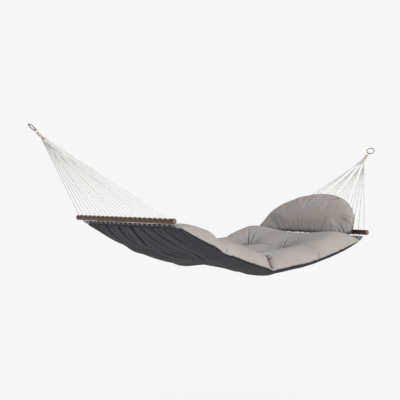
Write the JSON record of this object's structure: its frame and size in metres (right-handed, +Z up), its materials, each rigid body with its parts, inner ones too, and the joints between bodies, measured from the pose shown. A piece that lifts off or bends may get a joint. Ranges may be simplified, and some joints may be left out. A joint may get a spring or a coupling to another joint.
{
  "type": "quilted hammock",
  "caption": "Quilted hammock with wooden spreader bars, nettle cords to a steel ring at each end, and a half-round pillow at the head.",
  "frame": {"origin": "the seat of the hook inside the foot ring, at the ring's outermost point", "axes": "+X from the foot end to the head end, +Y to the far side, +Z up as the hammock hangs"},
  "size_m": [3.618, 1.4, 1.1349],
  "materials": {
    "ring_steel": "zinc-plated steel, dulled outdoors",
    "stained_hardwood": "dark brown oil stain, satin",
    "cord": "off-white laid polyester cord",
    "taupe_canvas": "matt woven outdoor canvas, taupe",
    "charcoal_canvas": "matt woven outdoor canvas, charcoal",
    "fibre_filling": "loose polyester fibre"
  },
  "bodies": {
    "rings": {"foot_ring": "ring_steel", "head_ring": "ring_steel"},
    "sling": {"foot_rope_eye": "cord", "head_rope_eye": "cord", "foot_whipping": "cord", "head_whipping": "cord", "foot_spreader_bar": "stained_hardwood", "head_spreader_bar": "stained_hardwood", "foot_nettle_cord_01": "cord", "foot_nettle_cord_02": "cord", "foot_nettle_cord_03": "cord", "foot_nettle_cord_04": "cord", "foot_nettle_cord_05": "cord", "foot_nettle_cord_06": "cord", "foot_nettle_cord_07": "cord", "foot_nettle_cord_08": "cord", "foot_nettle_cord_09": "cord", "foot_nettle_cord_10": "cord", "foot_nettle_cord_11": "cord", "foot_nettle_cord_12": "cord", "foot_nettle_cord_13": "cord", "foot_nettle_cord_14": "cord", "foot_nettle_cord_15": "cord", "foot_nettle_cord_16": "cord", "foot_nettle_cord_17": "cord", "foot_nettle_cord_18": "cord", "foot_nettle_cord_19": "cord", "foot_corner_cord_far": "cord", "foot_corner_cord_near": "cord", "head_nettle_cord_01": "cord", "head_nettle_cord_02": "cord", "head_nettle_cord_03": "cord", "head_nettle_cord_04": "cord", "head_nettle_cord_05": "cord", "head_nettle_cord_06": "cord", "head_nettle_cord_07": "cord", "head_nettle_cord_08": "cord", "head_nettle_cord_09": "cord", "head_nettle_cord_10": "cord", "head_nettle_cord_11": "cord", "head_nettle_cord_12": "cord", "head_nettle_cord_13": "cord", "head_nettle_cord_14": "cord", "head_nettle_cord_15": "cord", "head_nettle_cord_16": "cord", "head_nettle_cord_17": "cord", "head_nettle_cord_18": "cord", "head_nettle_cord_19": "cord", "head_corner_cord_far": "cord", "head_corner_cord_near": "cord", "foot_hem": "charcoal_canvas", "head_hem": "charcoal_canvas", "bed_top_cover": "taupe_canvas", "bed_underside": "charcoal_canvas", "bed_filling": "fibre_filling", "pillow_strap_1": "charcoal_canvas", "pillow_strap_2": "charcoal_canvas"},
    "pillow": {"pillow_front_cover": "taupe_canvas", "pillow_back_cover": "charcoal_canvas", "pillow_filling": "fibre_filling"}
  },
  "joints": [
    {"name": "sling_swing", "type": "hinge", "parent": "rings", "child": "sling", "pos_m": [0.0458, 0, -0.03827], "axis": [1, 0, 0], "range_deg": [-30, 30]},
    {"name": "pillow_flip", "type": "hinge", "parent": "sling", "child": "pillow", "pos_m": [2.71131, 0, -0.78407], "axis": [0, -1, 0], "range_deg": [0, 75]}
  ]
}
